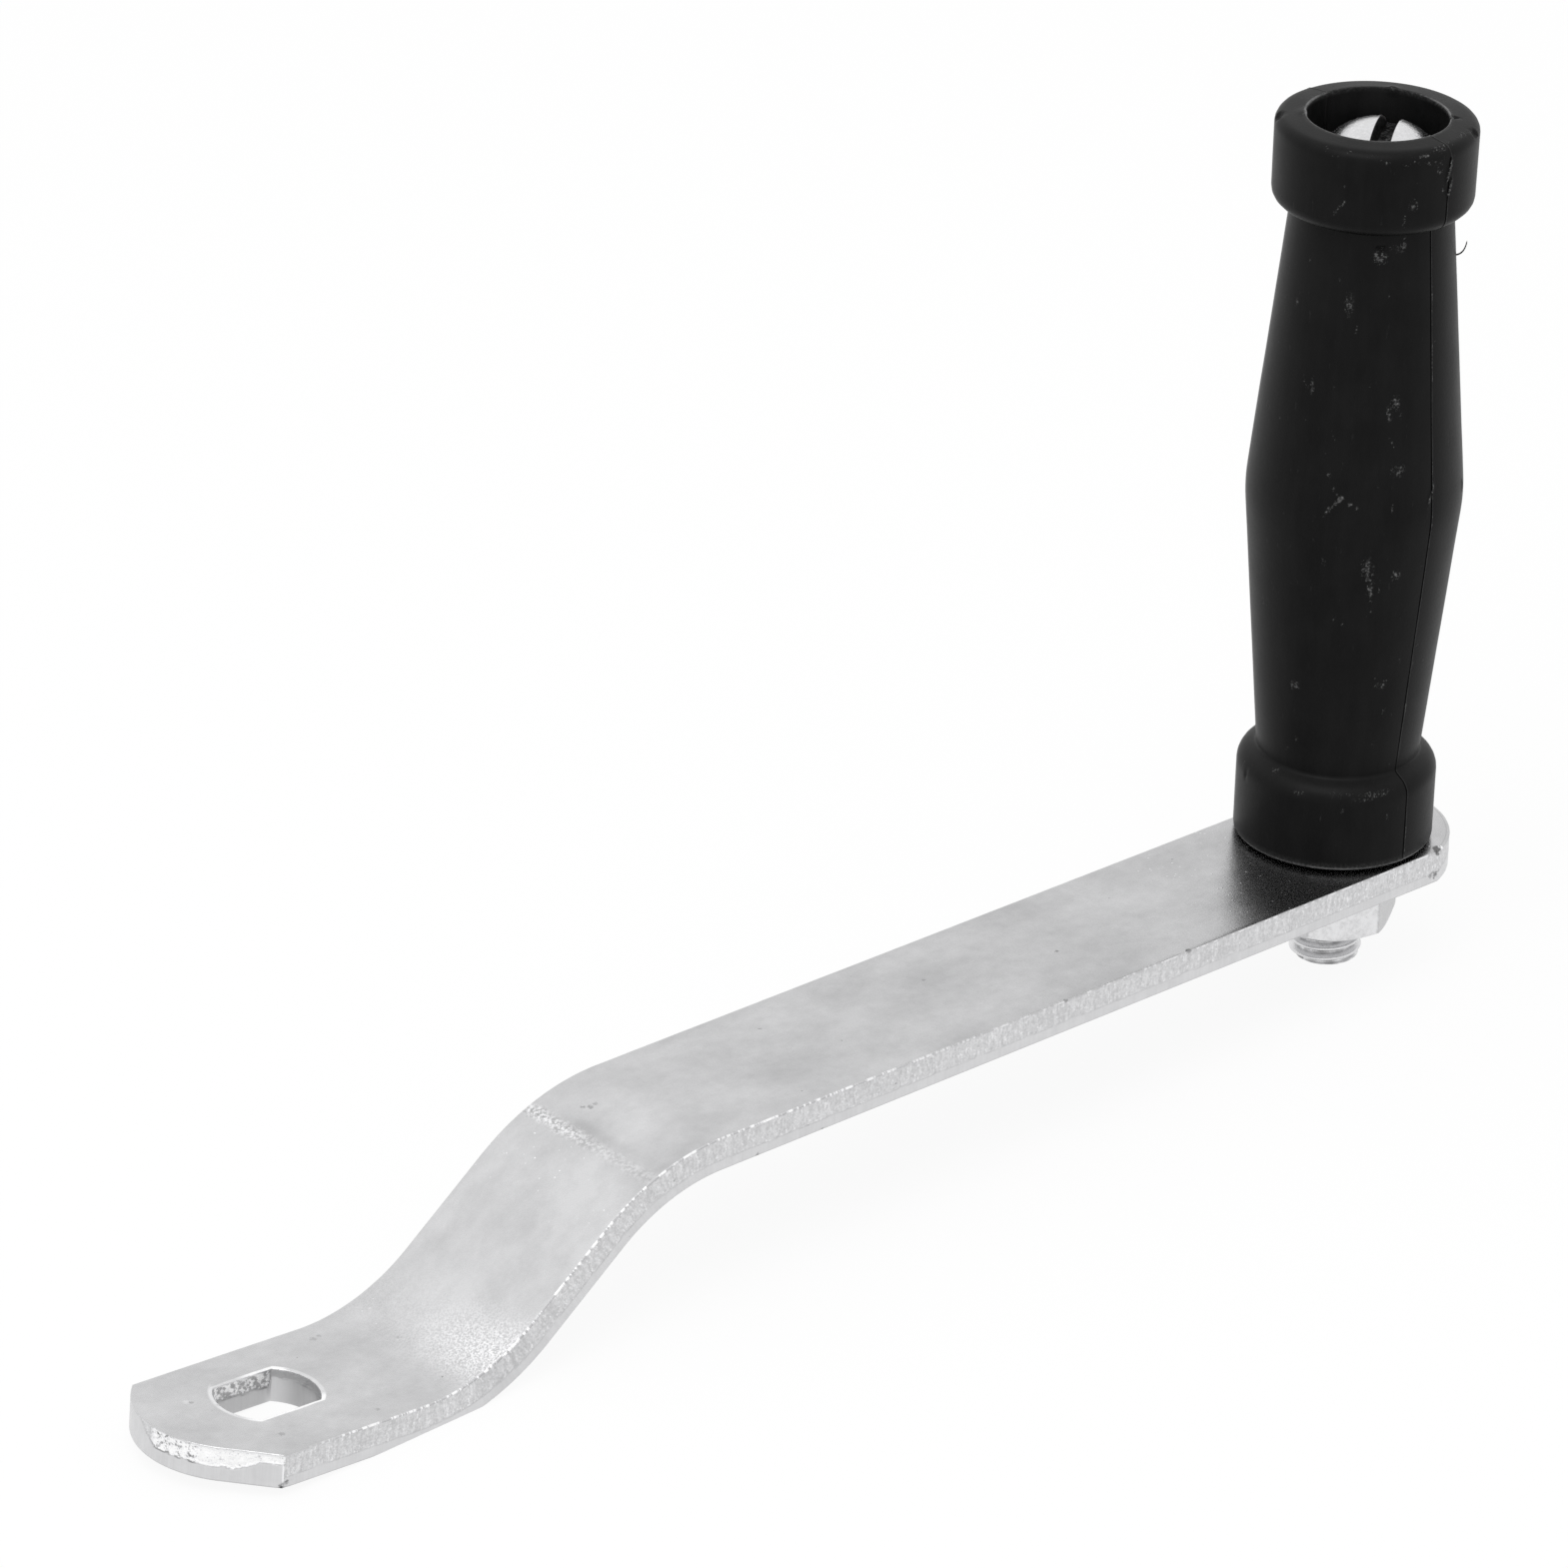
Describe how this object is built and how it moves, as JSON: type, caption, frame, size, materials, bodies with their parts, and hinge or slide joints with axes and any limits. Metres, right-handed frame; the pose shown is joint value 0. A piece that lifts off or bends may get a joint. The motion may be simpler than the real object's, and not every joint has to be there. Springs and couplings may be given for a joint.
{
  "type": "crank handle",
  "caption": "Hand crank: joggled flat steel arm with a double-D drive hole and a free-turning moulded grip on a slotted screw with a lock nut.",
  "frame": {"origin": "centre of the double-D drive hole, on the hub pad's upper face (the grip's side)", "axes": "+X along the raised arm from the drive hole to the grip, +Z along the grip's axis away from the arm, +Y completes the right-handed set and is square to the drive hole's flats"},
  "size_m": [0.22, 0.0294, 0.132],
  "materials": {
    "zinc_plated_bar": "bright zinc plating over pressed flat bar, satin faces and rough sheared edges",
    "black_moulding": "black moulded plastic, satin, scuffed",
    "zinc_plated_screw": "bright zinc plating",
    "zinc_plated_nut": "bright zinc plating"
  },
  "bodies": {
    "crank": {"arm": "zinc_plated_bar", "grip_screw": "zinc_plated_screw", "lock_nut": "zinc_plated_nut"},
    "grip": {"grip": "black_moulding"}
  },
  "joints": [
    {"name": "grip_spin", "type": "hinge", "parent": "crank", "child": "grip", "pos_m": [0.186, 0, 0.0737], "axis": [0, 0, 1], "continuous": true}
  ]
}
